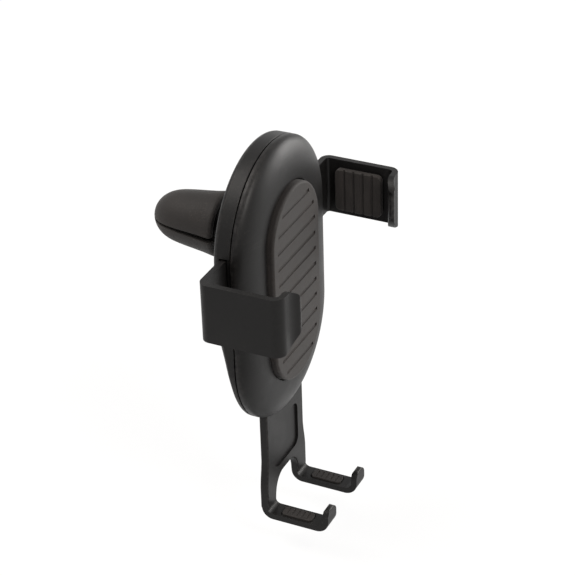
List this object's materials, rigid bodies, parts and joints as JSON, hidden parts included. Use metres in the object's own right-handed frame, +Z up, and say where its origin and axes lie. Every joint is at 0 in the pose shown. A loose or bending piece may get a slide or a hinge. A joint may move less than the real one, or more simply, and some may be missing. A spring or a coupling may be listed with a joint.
{
  "type": "air vent phone holder",
  "caption": "Air vent phone holder: rounded head with coupled clamp arms and a sliding hooked tray, held by a rubber vent clip on a ball joint.",
  "frame": {"origin": "on the vent clip's axis at the middle of its slot", "axes": "+Y along the clip's axis to its tip, so the grip faces -Y; +Z up; +X to the right arm"},
  "size_m": [0.0748, 0.0559, 0.1099],
  "materials": {
    "satin_plastic": "fine satin grain",
    "matte_rubber": "matte",
    "gear_plastic": "plain moulded",
    "screw_steel": "plain"
  },
  "bodies": {
    "clip": {"clip_core": "satin_plastic", "ball_stud": "satin_plastic", "upper_jaw_boot": "matte_rubber", "lower_jaw_boot": "matte_rubber"},
    "seat": {"ball_seat": "gear_plastic"},
    "nut": {"lock_nut": "satin_plastic"},
    "head": {"front_cover": "satin_plastic", "front_pad": "matte_rubber", "rear_shell": "satin_plastic", "housing_screw_1": "screw_steel", "housing_screw_2": "screw_steel", "housing_screw_3": "screw_steel", "housing_screw_4": "screw_steel"},
    "tray": {"bottom_tray": "satin_plastic", "left_hook_pad": "matte_rubber", "right_hook_pad": "matte_rubber"},
    "left_clamp": {"left_arm": "satin_plastic", "left_arm_pad": "matte_rubber"},
    "right_clamp": {"right_arm": "satin_plastic", "right_arm_pad": "matte_rubber"},
    "pinion": {"drive_pinion": "gear_plastic"}
  },
  "joints": [
    {"name": "ball_swivel", "type": "hinge", "parent": "clip", "child": "seat", "pos_m": [0, -0.01815, 0], "axis": [0, 0, 1], "range_deg": [-15, 15]},
    {"name": "ball_tilt", "type": "hinge", "parent": "seat", "child": "nut", "pos_m": [0, -0.01815, 0], "axis": [1, 0, 0], "range_deg": [-15, 15]},
    {"name": "ball_turn", "type": "hinge", "parent": "nut", "child": "head", "pos_m": [0, -0.01815, 0], "axis": [0, 1, 0], "continuous": true},
    {"name": "tray_slide", "type": "slide", "parent": "head", "child": "tray", "axis": [0, 0, 1], "range_m": [-0.005, 0.01]},
    {"name": "left_arm_slide", "type": "slide", "parent": "head", "child": "left_clamp", "axis": [-1, 0, 0], "range_m": [-0.005, 0.01]},
    {"name": "right_arm_slide", "type": "slide", "parent": "head", "child": "right_clamp", "axis": [1, 0, 0], "range_m": [-0.005, 0.01]},
    {"name": "pinion_turn", "type": "hinge", "parent": "head", "child": "pinion", "pos_m": [0, -0.02565, -0.00305], "axis": [0, 1, 0], "range_deg": [-91, 46]}
  ],
  "couplings": [
    {"joint": "left_arm_slide", "follows": "tray_slide", "ratio": 1},
    {"joint": "right_arm_slide", "follows": "tray_slide", "ratio": 1},
    {"joint": "pinion_turn", "follows": "tray_slide", "rad_per_m": -158.73}
  ]
}
